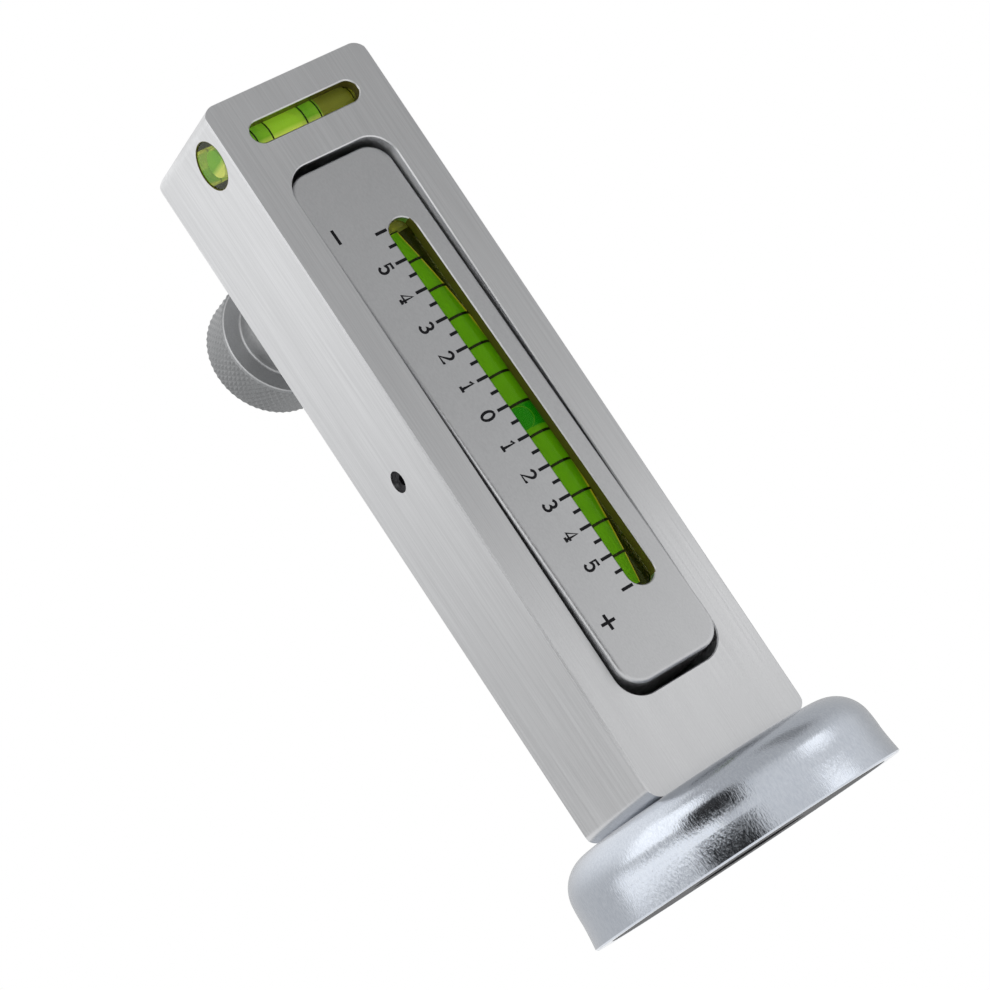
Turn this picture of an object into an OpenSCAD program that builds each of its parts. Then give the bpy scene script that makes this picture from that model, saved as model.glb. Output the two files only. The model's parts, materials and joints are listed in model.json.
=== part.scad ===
// Camber caster gauge: an aluminium block on a pot magnet, with a rocking plate
// that carries a long graduated vial, a short cross vial and a knurled zero adjuster.
// The magnet's flat face is at z = 0, the block stands up along +Z, the scale faces -Y.

/* [Block] */
// Width of the block, side to side
block_w = 35; // [34:0.5:40]
// Depth of the block, front to back
block_d = 25.8; // [25.6:0.1:30]
// Height of the block above the magnet
block_h = 137.5; // [135:0.5:150]
// Radius of the block's end corners, seen from the front
block_corner_r = 2.8; // [1:0.1:5]
// Radius of the back edge at each end
block_back_r = 2; // [0.5:0.1:4]
// Chamfer along the four long edges
block_edge = 0.3; // [0.1:0.05:0.8]

/* [Magnet] */
// Outside diameter of the magnet cup's wall
cup_d = 59.6; // [50:0.1:70]
// How far the cup's rim flares past its wall
cup_flare = 0.5; // [0:0.1:1.5]
// Height of the magnet cup
cup_h = 14.5; // [12.5:0.1:20]
// Radius of the cup's shoulder
cup_shoulder_r = 6; // [2:0.5:7]
// Thickness of the cup's wall
cup_wall = 2.5; // [1.5:0.1:4]
// Height at which the wall starts to flare
cup_flare_h = 5; // [2:0.5:6]
// How sharply it starts: 0 runs on smoothly from the wall, 1 is a plain cone
cup_flare_start = 0.6; // [0:0.1:1]
// Edge break round the cup's rim
rim_edge = 0.3; // [0.1:0.05:0.6]
// Thickness of the cup's base
cup_base = 4; // [3.6:0.1:5]
// Bore of the ferrite ring, clear for the end of a spindle
ring_bore_d = 22; // [16:0.5:28]
// Gap for the glue between the ring and the cup
glue_gap = 0.2; // [0.1:0.05:0.5]
// Diameter of the screw through the cup
magnet_screw_d = 6; // [5:0.5:7]
// Length of the screw with its flush head
magnet_screw_l = 15; // [12:0.5:17]
// Size across the flats of its socket
magnet_socket = 4; // [3:0.5:4.5]

/* [Pocket] */
// Width of the pocket
pocket_w = 22; // [21:0.5:25]
// Radius of the pocket's corners
pocket_r = 5; // [2.5:0.5:6]
// Depth of the pocket
pocket_depth = 21; // [20.6:0.1:21.6]
// Height of the pocket's lower end above the block's foot
pocket_up = 15.5; // [14:0.5:18]
// Distance of the pocket's upper end below the block's top
pocket_down = 16; // [14:0.5:18]
// Chamfer round the mouth of the pocket and of the windows
mouth_edge = 0.2; // [0.1:0.05:0.4]

/* [Rocking plate] */
// Gap between the plate and the pocket at each side
side_gap = 0.4; // [0.3:0.05:0.8]
// Gap between the plate and the pocket at each end
end_gap = 1.2; // [1:0.1:2]
// Thickness of the plate
plate_t = 16; // [15.2:0.1:16.4]
// Radius round the plate's front edge
plate_edge_r = 0.8; // [0.4:0.1:1.2]
// Depth of the pivot axis behind the block's front
pivot_depth = 12.4; // [12.2:0.1:13]
// Lean of the plate as drawn, with its upper end sunk in the pocket
rest_tilt = 2.05; // [-2:0.05:2.4]
// Furthest lean to either side
tilt_limit = 2.65; // [2.4:0.05:3]

/* [Pivot screws] */
// Diameter of the set screws
pivot_screw_d = 4; // [3.5:0.5:5]
// Diameter of their dog points
dog_d = 2.5; // [1.8:0.1:2.8]
// How far the points reach into the plate
dog_reach = 1.8; // [1:0.1:2.2]
// How far the screws are sunk below the block's sides
pivot_recess = 1; // [0.5:0.1:2]
// Size across the flats of their sockets
pivot_socket = 2; // [1.5:0.1:2.5]

/* [Vials] */
// Outside diameter of both vials
vial_d = 8.5; // [8:0.1:8.6]
// Radius of a vial's chamber at its middle
chamber_r = 3.2; // [3.1:0.05:3.4]
// Thickness of the closed end of a vial
vial_end = 1.6; // [1:0.1:2.5]
// Radius of the plug in the other end
vial_plug_r = 2.6; // [2.3:0.1:2.9]

/* [Camber vial] */
// Distance of the camber vial to the right of the plate's middle
camber_x = 4.05; // [3:0.05:4.4]
// Depth of its axis behind the plate's front
camber_depth = 5.7; // [5.6:0.1:6.4]
// Length of its plug
camber_plug_l = 4.4; // [3:0.1:5]
// Scale length of one degree
degree_pitch = 6.1; // [5.6:0.1:6.4]
// Degrees on each side of zero
degrees = 6; // [4:1:6]
// Width of the slot that shows the vial
slot_w = 5.6; // [4:0.1:6.4]
// How far the slot runs past the last mark
slot_past = 1.1; // [0.5:0.1:2]
// How far the vial runs past each end of the slot
vial_past = 3.3; // [2.5:0.1:4]
// How far the plug in the mouth of the vial's bore is sunk
retainer_sunk = 0.5; // [0.2:0.1:1]
// Length of the bubble in the camber vial
camber_bubble_l = 4.6; // [3:0.1:5.5]
// Radius of that bubble
camber_bubble_r = 1.9; // [1.2:0.1:2.6]
// Distance of that bubble below the zero mark
camber_bubble_down = 2.4; // [0:0.1:6]

/* [Cross vial] */
// Length of the cross vial
cross_vial_l = 29; // [24:0.5:29.5]
// Distance of the cross vial below the block's top
cross_down = 7.6; // [7.4:0.1:9]
// Depth of its axis behind the block's front
cross_depth = 6.3; // [5.8:0.1:6.6]
// Length of its plug
cross_plug_l = 7.2; // [3:0.1:8]
// Width of the window over the cross vial
cross_window_w = 23; // [18:0.5:23.5]
// Height of that window
cross_window_h = 4.2; // [3:0.1:6]
// Radius of the barrel curve in the cross vial
cross_barrel_r = 120; // [80:5:250]
// Length of the bubble in the cross vial
cross_bubble_l = 6.8; // [5:0.1:9]
// Radius of that bubble
cross_bubble_r = 2; // [1.2:0.1:2.6]
// Distance of that bubble from the vial's middle, towards its closed end
cross_bubble_off = 0; // [-2:0.1:2]

/* [Adjuster] */
// Distance of the adjusting screw below the pocket's upper end
adjuster_down = 13.2; // [11:0.1:18]
// Diameter of the knurled head, over the ridges
knob_d = 24.6; // [18:0.1:30]
// Depth of the knurl; the head is drawn down to the foot of its ridges
knurl_depth = 0.3; // [0.1:0.05:0.4]
// Thickness of the knurled head
knob_t = 9.2; // [6:0.1:14]
// Distance of the knurled head from the block's back
knob_off = 20.1; // [14:0.1:24]
// Diameter of the smooth boss
boss_d = 17.4; // [12:0.1:18]
// Chamfer round both ends of the knob
knob_edge = 0.5; // [0.5:0.1:0.9]
// Fillet between the boss and the head
boss_fillet = 0.4; // [0.2:0.1:1]
// Diameter of the adjusting screw
screw_d = 6; // [5:0.5:7]
// Diameter of the plain tip that turns in the thrust pad
tip_d = 3; // [2:0.5:3.5]
// Diameter of the thrust pad
pad_d = 8; // [6.5:0.1:9]
// Radius of the thrust pad's dome
pad_dome_r = 12; // [8:0.5:20]

/* [Return spring] */
// Height of the spring above the pocket's lower end
spring_up = 13; // [9:0.5:18]
// Outside diameter of the spring
spring_d = 5.3; // [4.6:0.1:5.6]
// Diameter of its wire
wire_d = 0.7; // [0.5:0.05:0.8]
// Number of curls
spring_turns = 6; // [4:1:6]
// Depth of the seat in the plate's back
plate_seat = 4; // [3:0.1:4.5]
// Depth of the seat in the pocket's floor
floor_seat = 1.2; // [0.8:0.1:2]

/* [Hidden] */

$fn = 96;
eps = 0.01;             // overlap of cuts and of fused shapes
run_fit = 0.05;         // radial clearance of what turns or slides
magnet_screw_fit = 0.2; // radial clearance of the magnet's screw in the cup
thread_fit = 0.02;      // radial clearance of a screw in its tapped hole
vial_fit = 0.1;         // radial clearance of a vial in its bore
vial_end_fit = 0.2;     // gap at each end of a vial
film = 0.02;            // gap between a vial, its plug, its fluid and its bubble
bubble_film = 0.1;      // fluid between a bubble and its vial's wall
stop_gap = 0.3;         // what is left between two pieces at the end of a travel
contact_gap = 0.03;     // what is left between the pad and the plate
seat_fit = 0.7;         // radial clearance of the spring in its seats
spring_gap = 0.35;      // what is left between the spring and the bottom of its seat
drill_past = 0.5;       // how far a blind hole runs past what it holds
cut_past = 1;           // how far a cut starts outside the face that it enters
socket_deep = 1;        // depth of a hexagon socket, as a share of its width
press_depth = 0.7;      // how deep the shank sits in the knob's head, as a share of it

// heights above the magnet's face
foot_z = cup_h;
top_z = foot_z + block_h;
pocket_h = block_h - pocket_up - pocket_down;
pivot_z = foot_z + pocket_up + pocket_h / 2;
cross_z = top_z - cross_down;
adjuster_up = pocket_h / 2 - adjuster_down;
adjuster_z = pivot_z + adjuster_up;
spring_down = pocket_h / 2 - spring_up;
spring_z = pivot_z - spring_down;

// depths, front to back
front_y = -block_d / 2;
back_y = block_d / 2;
pivot_y = front_y + pivot_depth;
floor_y = front_y + pocket_depth;
cross_y = front_y + cross_depth;

// the plate, measured from the pivot axis
plate_w = pocket_w - 2 * side_gap;
plate_h = pocket_h - 2 * end_gap;
plate_r = pocket_r - side_gap;
plate_front = -pivot_depth;
plate_back = plate_t - pivot_depth;
camber_y = plate_front + camber_depth;
slot_h = 2 * (degrees * degree_pitch + slot_past);
camber_vial_l = slot_h + 2 * vial_past;
vial_bore_d = vial_d + 2 * vial_fit;
// one degree of lean moves the bubble by one mark
camber_barrel_r = degree_pitch / tan(1);

// where the plate's back crosses the level of the adjusting screw or of the spring
function back_at(up, lean) = pivot_y + plate_back / cos(lean) + up * tan(lean);
pad_y = back_at(adjuster_up, rest_tilt) + contact_gap;
pad_t = floor_y - stop_gap - back_at(adjuster_up, tilt_limit) - contact_gap;
travel_in = pad_y - back_at(adjuster_up, -tilt_limit);
boss_l = knob_off - travel_in - stop_gap;
knob_y = back_y + knob_off;
tip_l = pad_t / 2;

// cross vial, which starts just inside the left face
cross_start = -block_w / 2 + vial_end_fit;
cross_x = cross_start + cross_vial_l / 2;

// ---- shapes used by more than one piece ----

// rectangle with round corners, centred; its ends may be full half circles
module round_rect(w, h, r) {
    if (w > 2 * r) square([w - 2 * r, h], center = true);
    if (h > 2 * r) square([w, h - 2 * r], center = true);
    for (sx = [-1, 1], sy = [-1, 1])
        translate([sx * (w / 2 - r), sy * (h / 2 - r)]) circle(r);
}

// cross-section of a chamfered mouth of the given width, deepest along +Y
function bevel(width, edge) =
    let (outer = width / 2 + edge + cut_past)
    [[-outer, -cut_past], [outer, -cut_past], [width / 2, edge], [-width / 2, edge]];

// cut of width w along X and height h along Z, sunk by depth into a face at y = 0
// that looks towards -Y, with a chamfer round its mouth
module mouth_cut(w, h, r, depth, edge) {
    rotate([90, 0, 0])
        translate([0, 0, -depth]) linear_extrude(depth + cut_past) round_rect(w, h, r);
    if (h > 2 * r)
        translate([0, 0, -h / 2 + r]) linear_extrude(h - 2 * r) polygon(bevel(w, edge));
    if (w > 2 * r)
        translate([-w / 2 + r, 0, 0]) rotate([0, 0, 90]) rotate([90, 0, 0])
            linear_extrude(w - 2 * r) polygon(bevel(h, edge));
    for (sx = [-1, 1], sz = [-1, 1])
        translate([sx * (w / 2 - r), -cut_past, sz * (h / 2 - r)]) rotate([-90, 0, 0])
            cylinder(r1 = r + edge + cut_past, r2 = r, h = cut_past + edge);
}

// hexagon socket, cut downwards from z = 0
module hex_socket(flats) {
    translate([0, 0, -flats * socket_deep])
        cylinder(d = flats / cos(30), h = flats * socket_deep + cut_past, $fn = 6);
}

// places what the plate carries: the plate's own axes start on the pivot
module on_plate() {
    translate([0, pivot_y, pivot_z]) rotate([-rest_tilt, 0, 0]) children();
}

// places the camber vial, whose own axis is Z
module at_camber_vial() {
    on_plate() translate([camber_x, camber_y, 0]) children();
}

// places the cross vial: its closed end is at the left
module at_cross_vial() {
    translate([cross_x, cross_y, cross_z]) rotate([0, 90, 0]) children();
}

// ---- vials: a tube with a barrel chamber, closed at its lower end ----

function chamber_low(l) = -l / 2 + vial_end;
function chamber_high(l, plug_l) = l / 2 - plug_l;
function barrel(z, barrel_r) = chamber_r - z * z / (2 * barrel_r);

module chamber(l, barrel_r, plug_l, grow = 0) {
    low = chamber_low(l) - grow;
    high = chamber_high(l, plug_l) + grow;
    steps = 16;
    wall = [for (i = [0:steps]) let (z = low + (high - low) * i / steps)
            [barrel(z, barrel_r) + grow, z]];
    rotate_extrude() polygon(concat([[0, low]], wall, [[0, high]]));
}

module vial_tube(l, barrel_r, plug_l) {
    difference() {
        translate([0, 0, -l / 2]) cylinder(d = vial_d, h = l);
        chamber(l, barrel_r, plug_l);
        translate([0, 0, chamber_high(l, plug_l)])
            cylinder(r = vial_plug_r, h = plug_l + cut_past);
    }
}

module vial_plug(l, plug_l) {
    translate([0, 0, chamber_high(l, plug_l)])
        cylinder(r = vial_plug_r - film, h = plug_l - vial_end_fit);
}

// bubble of length l and radius r, lying against the chamber's front
module bubble_shape(l, r, down, grow = 0) {
    steps = 24;
    outline = [for (i = [0:steps]) let (a = -90 + 180 * i / steps)
               [max(0, (r + grow) * cos(a)), (l / 2 + grow) * sin(a)]];
    translate([0, -(chamber_r - r - bubble_film), -down]) rotate_extrude() polygon(outline);
}

module vial_fluid(l, barrel_r, plug_l, bubble_l, bubble_r, bubble_down) {
    difference() {
        chamber(l, barrel_r, plug_l, -film);
        bubble_shape(bubble_l, bubble_r, bubble_down, film);
    }
}

// ---- body ----

// milled from bar: pocket, cross bore with its window, tapped holes and spring seat
module body_block() {
    color("silver") difference() {
        intersection() {
            translate([0, back_y + cut_past, foot_z + block_h / 2]) rotate([90, 0, 0])
                linear_extrude(block_d + 2 * cut_past) round_rect(block_w, block_h, block_corner_r);
            translate([-block_w / 2 - cut_past, 0, foot_z]) rotate([90, 0, 90])
                linear_extrude(block_w + 2 * cut_past) side_outline();
            translate([0, 0, foot_z - cut_past])
                linear_extrude(block_h + 2 * cut_past) plan_outline();
        }
        translate([0, front_y, pivot_z])
            mouth_cut(pocket_w, pocket_h, pocket_r, pocket_depth, mouth_edge);
        translate([0, front_y, cross_z])
            mouth_cut(cross_window_w, cross_window_h, cross_window_h / 2,
                      cross_depth, mouth_edge);
        translate([-block_w / 2 - cut_past, cross_y, cross_z]) rotate([0, 90, 0])
            cylinder(d = vial_bore_d, h = cut_past + cross_vial_l + vial_end_fit + drill_past);
        translate([0, pivot_y, pivot_z]) rotate([0, 90, 0])
            cylinder(d = pivot_screw_d, h = block_w + 2 * cut_past, center = true);
        translate([0, floor_y - cut_past, adjuster_z]) rotate([-90, 0, 0])
            cylinder(r = screw_d / 2 + run_fit, h = block_d);
        translate([0, floor_y - cut_past, spring_z]) rotate([-90, 0, 0])
            cylinder(r = spring_d / 2 + seat_fit, h = floor_seat + cut_past);
        translate([0, 0, foot_z - cut_past])
            cylinder(d = magnet_screw_d, h = cut_past + magnet_screw_l - cup_base + drill_past);
    }
}

// outline of the block from the side, with its back edges rounded
module side_outline() {
    translate([front_y, 0]) square([block_d - block_back_r, block_h]);
    translate([front_y, block_back_r]) square([block_d, block_h - 2 * block_back_r]);
    for (z = [block_back_r, block_h - block_back_r])
        translate([back_y - block_back_r, z]) circle(block_back_r);
}

// outline of the block from above, with its long edges chamfered
module plan_outline() {
    x = block_w / 2;
    y = block_d / 2;
    e = block_edge;
    polygon([[-x + e, -y], [x - e, -y], [x, -y + e], [x, y - e],
             [x - e, y], [-x + e, y], [-x, y - e], [-x, -y + e]]);
}

// ---- magnet ----

// pressed and plated steel cup, open below, with a flared rim
module magnet_cup() {
    wall_r = cup_d / 2;
    rim_r = wall_r + cup_flare;
    inner_r = wall_r - cup_wall;
    shoulder = [for (i = [0:10]) let (a = 90 - 9 * i)
                [wall_r - cup_shoulder_r + cup_shoulder_r * cos(a),
                 cup_h - cup_shoulder_r + cup_shoulder_r * sin(a)]];
    // below the shoulder the wall is straight, and then sweeps out to the rim
    s = cup_flare_start;
    sweep = [for (i = [0:6]) let (t = i / 6)
             [wall_r + cup_flare * (s * t + (1 - s) * t * t),
              cup_flare_h - (cup_flare_h - rim_edge) * t]];
    outline = concat([[0, cup_h]], shoulder, sweep,
                     [[rim_r - rim_edge, 0], [inner_r + rim_edge, 0], [inner_r, rim_edge],
                      [inner_r, cup_h - cup_base], [0, cup_h - cup_base]]);
    color("lightsteelblue") difference() {
        rotate_extrude() polygon(outline);
        translate([0, 0, cup_h - cup_base - eps]) countersink(eps, eps);
        translate([0, 0, cup_h - cup_base])
            cylinder(r = magnet_screw_d / 2 + magnet_screw_fit, h = cup_base + cut_past);
    }
}

// cone of a countersunk head, twice as wide as the screw, with its wide end at z = 0
module countersink(grow = 0, sink = 0) {
    cylinder(r1 = magnet_screw_d + grow, r2 = magnet_screw_d / 2 + grow,
             h = magnet_screw_d / 2 + sink);
}

// ferrite ring, flush with the cup's rim
module magnet_ring() {
    color("dimgray") difference() {
        cylinder(r = cup_d / 2 - cup_wall - glue_gap, h = cup_h - cup_base);
        translate([0, 0, -cut_past]) cylinder(d = ring_bore_d, h = cup_h);
    }
}

// countersunk socket screw, its head flush with the cup's inner face
module magnet_screw() {
    head_z = cup_h - cup_base;
    color("gray") difference() {
        union() {
            translate([0, 0, head_z]) countersink(-run_fit);
            translate([0, 0, head_z + eps])
                cylinder(r = magnet_screw_d / 2 - thread_fit, h = magnet_screw_l - eps);
        }
        translate([0, 0, head_z]) rotate([180, 0, 0]) hex_socket(magnet_socket);
    }
}

// ---- rocking plate and what it carries ----

// plate with rounded front edge, long bore and slot for the vial
module camber_plate() {
    color("darkgray") on_plate() difference() {
        plate_blank();
        translate([camber_x, plate_front, 0])
            mouth_cut(slot_w, slot_h, slot_w / 2, camber_depth, mouth_edge);
        translate([camber_x, camber_y, -camber_vial_l / 2 - vial_end_fit])
            cylinder(d = vial_bore_d, h = plate_h);
        for (side = [-1, 1])
            translate([side * (plate_w / 2 + cut_past), 0, 0]) rotate([0, side * -90, 0])
                cylinder(r = dog_d / 2 + run_fit, h = cut_past + dog_reach + drill_past);
        translate([0, plate_back - plate_seat, -spring_down / cos(rest_tilt)])
            rotate([-90, 0, 0])
            cylinder(r = spring_d / 2 + seat_fit, h = plate_seat + cut_past);
    }
}

// the plate before it is drilled: its front edge is a quarter round, swept round the outline
module plate_blank() {
    w = plate_w;
    h = plate_h;
    r = plate_r;
    f = plate_edge_r;
    rotate([-90, 0, 0]) translate([0, 0, plate_front + f])
        linear_extrude(plate_t - f) round_rect(w, h, r);
    rotate([-90, 0, 0]) translate([0, 0, plate_front])
        linear_extrude(f + eps) round_rect(w - 2 * f, h - 2 * f, r - f);
    for (side = [-1, 1]) {
        translate([side * (w / 2 - f), plate_front + f, 0])
            cylinder(r = f, h = h - 2 * r, center = true);
        translate([0, plate_front + f, side * (h / 2 - f)]) rotate([0, 90, 0])
            cylinder(r = f, h = w - 2 * r, center = true);
    }
    for (sx = [-1, 1], sz = [-1, 1])
        translate([sx * (w / 2 - r), plate_front + f, sz * (h / 2 - r)]) rotate([90, 0, 0])
            rotate_extrude() translate([r - f, 0]) circle(f);
}

// socket set screw with a dog point, for one side of the block
module pivot_screw(side) {
    head_x = block_w / 2 - pivot_recess;
    thread_end = pocket_w / 2 + side_gap / 2;
    tip_x = plate_w / 2 - dog_reach;
    color("dimgray") translate([0, pivot_y, pivot_z]) rotate([0, side * 90, 0]) difference() {
        union() {
            translate([0, 0, thread_end])
                cylinder(r = pivot_screw_d / 2 - thread_fit, h = head_x - thread_end);
            translate([0, 0, tip_x]) cylinder(d = dog_d, h = thread_end - tip_x + eps);
        }
        translate([0, 0, head_x]) hex_socket(pivot_socket);
    }
}

module pivot_screw_left() { pivot_screw(-1); }
module pivot_screw_right() { pivot_screw(1); }

module camber_vial_tube() {
    color([0.85, 0.9, 0.5, 0.5]) at_camber_vial()
        vial_tube(camber_vial_l, camber_barrel_r, camber_plug_l);
}

module camber_vial_plug() {
    color("olive") at_camber_vial() vial_plug(camber_vial_l, camber_plug_l);
}

module camber_vial_fluid() {
    color("yellowgreen") at_camber_vial()
        vial_fluid(camber_vial_l, camber_barrel_r, camber_plug_l, camber_bubble_l,
                   camber_bubble_r, camber_bubble_down);
}

module camber_bubble() {
    color("darkgreen") at_camber_vial()
        bubble_shape(camber_bubble_l, camber_bubble_r, camber_bubble_down);
}

// plug pressed into the mouth of the plate's long bore
module vial_retainer() {
    start = camber_vial_l / 2 + vial_end_fit;
    end = plate_h / 2 - retainer_sunk;
    color("gray") at_camber_vial() translate([0, 0, start])
        cylinder(d = vial_bore_d - 2 * film, h = end - start);
}

// ---- cross vial ----

module cross_vial_tube() {
    color([0.85, 0.9, 0.5, 0.5]) at_cross_vial()
        vial_tube(cross_vial_l, cross_barrel_r, cross_plug_l);
}

module cross_vial_plug() {
    color("olive") at_cross_vial() vial_plug(cross_vial_l, cross_plug_l);
}

module cross_vial_fluid() {
    color("yellowgreen") at_cross_vial()
        vial_fluid(cross_vial_l, cross_barrel_r, cross_plug_l, cross_bubble_l,
                   cross_bubble_r, cross_bubble_off);
}

module cross_bubble() {
    color("greenyellow") at_cross_vial()
        bubble_shape(cross_bubble_l, cross_bubble_r, cross_bubble_off);
}

// ---- adjuster ----

// turns a shape drawn along +Z to run along +Y from y = start, on the screw's axis
module on_adjuster(start) {
    translate([0, start, adjuster_z]) rotate([-90, 0, 0]) children();
}

// knurled head with a smooth boss that faces the block
module adjuster_knob() {
    root_r = knob_d / 2 - knurl_depth;
    face_r = knob_d / 2 - knob_edge;
    boss_r = boss_d / 2;
    e = knob_edge;
    f = boss_fillet;
    fillet = [for (i = [0:4]) let (a = 90 * i / 4)
              [boss_r + f * (1 - cos(a)), -f * (1 - sin(a))]];
    outline = concat([[0, -boss_l], [boss_r - e, -boss_l], [boss_r, e - boss_l]], fillet,
                     [[face_r, 0], [root_r, root_r - face_r],
                      [root_r, knob_t - root_r + face_r], [face_r, knob_t], [0, knob_t]]);
    color("gray") on_adjuster(knob_y) difference() {
        rotate_extrude() polygon(outline);
        translate([0, 0, -boss_l - cut_past])
            cylinder(d = screw_d, h = cut_past + boss_l + knob_t * press_depth);
    }
}

// threaded shank, pressed into the knob, with a plain tip that turns in the pad
module adjuster_screw() {
    tip_start = pad_y + pad_t - tip_l + film;
    shank_start = pad_y + pad_t + film;
    shank_end = knob_y + knob_t * press_depth - film;
    color("silver") {
        on_adjuster(tip_start) cylinder(r = tip_d / 2 - run_fit, h = tip_l + eps);
        on_adjuster(shank_start) cylinder(r = screw_d / 2 - film, h = shank_end - shank_start);
    }
}

// button with a domed face that bears on the plate's back
module thrust_pad() {
    dome = [for (i = [0:8]) let (a = asin(pad_d / 2 / pad_dome_r) * i / 8)
            [pad_dome_r * sin(a), pad_dome_r * (1 - cos(a))]];
    color("goldenrod") on_adjuster(pad_y) difference() {
        rotate_extrude() polygon(concat(dome, [[pad_d / 2, pad_t], [0, pad_t]]));
        translate([0, 0, pad_t - tip_l]) cylinder(d = tip_d, h = tip_l + cut_past);
    }
}

// ---- return spring: one unbroken wire whose path lies on a cylinder ----

spring_r = (spring_d - wire_d) / 2;
spring_low_y = back_at(-spring_down, rest_tilt) - plate_seat + spring_gap;
spring_l = floor_y + floor_seat - spring_low_y - film;
bend_r = wire_d * 1.3;
leg_l = wire_d;
ring_sides = 6;
rings_per_curl = 8;
bend_steps = 3;

// the path unrolled: [distance round the cylinder, height]
rise = spring_l - 2 * leg_l;
around = 2 * PI * spring_r * spring_turns;
slope = atan2(rise - 2 * bend_r, around);
function bend_at(a) = [bend_r * (1 - cos(a)), leg_l + bend_r * sin(a)];
low_bend = [for (i = [0:bend_steps]) bend_at((90 - slope) * i / bend_steps)];
bend_end = low_bend[bend_steps];
spring_mid = [around / 2, spring_l / 2];
half_steps = spring_turns * rings_per_curl / 2;
half_path = concat([[0, 0]], low_bend,
                   [for (i = [1:half_steps]) bend_end + (spring_mid - bend_end) * i / half_steps]);
path = concat(half_path, [for (i = [len(half_path) - 2:-1:0]) 2 * spring_mid - half_path[i]]);

// wraps a point of the path round the cylinder
function wrap_angle(p) = p[0] / spring_r * 180 / PI;
function wrap(p) = [spring_r * cos(wrap_angle(p)), spring_r * sin(wrap_angle(p)), p[1]];
// direction of the path on the cylinder, as [round, up]
function heading(i) =
    let (a = path[max(i - 1, 0)], b = path[min(i + 1, len(path) - 1)]) (b - a) / norm(b - a);
function ring(i) =
    let (p = path[i], t = wrap_angle(p), h = heading(i),
         out = [cos(t), sin(t), 0], across = [-sin(t) * h[1], cos(t) * h[1], -h[0]])
    [for (k = [0:ring_sides - 1]) let (a = 360 * k / ring_sides)
     wrap(p) + wire_d / 2 * (cos(a) * out + sin(a) * across)];

// least gap between curls: each centre against those at least most of a curl away
centres = [for (p = path) wrap(p)];
gap = min([for (i = [0:len(centres) - 7]) for (j = [i + 6:len(centres) - 1])
           norm(centres[i] - centres[j])]) - wire_d;
echo(spring_least_gap = gap);

module return_spring() {
    rings = len(path);
    points = [for (i = [0:rings - 1]) each ring(i)];
    sides = [for (i = [0:rings - 2]) for (k = [0:ring_sides - 1])
             let (a = i * ring_sides + k, b = i * ring_sides + (k + 1) % ring_sides)
             each [[a, a + ring_sides, b], [b, a + ring_sides, b + ring_sides]]];
    low_cap = [for (k = [0:ring_sides - 1]) k];
    high_cap = [for (k = [ring_sides - 1:-1:0]) (rings - 1) * ring_sides + k];
    color("lightgray") translate([0, spring_low_y, spring_z]) rotate([-90, 0, 0])
        polyhedron(points, concat([low_cap], sides, [high_cap]));
}

body_block();
magnet_cup();
magnet_ring();
magnet_screw();
camber_plate();
pivot_screw_left();
pivot_screw_right();
camber_vial_tube();
camber_vial_plug();
camber_vial_fluid();
camber_bubble();
vial_retainer();
cross_vial_tube();
cross_vial_plug();
cross_vial_fluid();
cross_bubble();
adjuster_knob();
adjuster_screw();
thrust_pad();
return_spring();
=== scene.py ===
import json
import math

import bpy
from mathutils import Euler, Matrix, Vector


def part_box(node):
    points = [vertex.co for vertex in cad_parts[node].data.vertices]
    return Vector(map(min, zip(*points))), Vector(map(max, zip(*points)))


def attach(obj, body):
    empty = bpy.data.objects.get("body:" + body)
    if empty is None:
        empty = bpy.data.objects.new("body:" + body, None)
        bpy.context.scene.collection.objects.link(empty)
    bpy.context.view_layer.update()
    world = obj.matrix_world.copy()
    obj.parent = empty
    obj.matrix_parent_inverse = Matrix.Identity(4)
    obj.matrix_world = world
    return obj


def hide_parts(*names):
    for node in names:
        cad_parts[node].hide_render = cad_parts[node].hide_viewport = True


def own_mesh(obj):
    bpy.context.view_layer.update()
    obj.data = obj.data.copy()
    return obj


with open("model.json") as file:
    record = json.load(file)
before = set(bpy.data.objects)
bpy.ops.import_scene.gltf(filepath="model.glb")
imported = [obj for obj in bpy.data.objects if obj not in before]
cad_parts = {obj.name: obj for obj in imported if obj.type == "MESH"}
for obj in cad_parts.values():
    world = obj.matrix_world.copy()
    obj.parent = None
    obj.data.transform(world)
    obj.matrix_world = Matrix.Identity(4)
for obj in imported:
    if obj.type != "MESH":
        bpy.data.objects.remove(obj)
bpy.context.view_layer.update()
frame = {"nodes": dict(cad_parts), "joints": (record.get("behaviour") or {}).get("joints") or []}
nodes = frame["nodes"]
joints = {joint["name"]: joint for joint in frame["joints"]}
scene = bpy.context.scene
scene.view_settings.view_transform = "Standard"


# ---- Camera ----
# It stands low at the left of the scale, tipped over to one side, so that the gauge
# lies across the picture from upper left to lower right.
camera_place = Vector((-0.32163, -0.52446, -0.00975))
camera_turn = Euler((math.radians(99.218), math.radians(33.188), math.radians(-26.219)))
camera_lens = 133.4

bpy.ops.object.camera_add(location=camera_place, rotation=camera_turn)
camera = bpy.context.object
camera.data.lens = camera_lens
camera.data.sensor_width = 36
camera.data.clip_start = 0.01
scene.camera = camera


# ---- Floor, backdrop and studio light ----
# A pale floor under the magnet, a white surround, a soft box high at the left and a weaker
# one behind. The camera looks up from just under the floor's level, so the floor shows
# only from above.
floor_size = 4.0
floor_drop = 0.0006
surround_glow = 0.75
middle = Vector((0, 0, 0.08))

bpy.ops.mesh.primitive_plane_add(size=floor_size, location=(0, 0, -floor_drop))
floor = bpy.context.object
floor.name = "floor"


def new_material(name):
    """An empty node material, its node tree and its output node."""
    made = bpy.data.materials.new(name)
    made.use_nodes = True
    made.node_tree.nodes.clear()
    out = made.node_tree.nodes.new("ShaderNodeOutputMaterial")
    return made, made.node_tree, out


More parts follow.
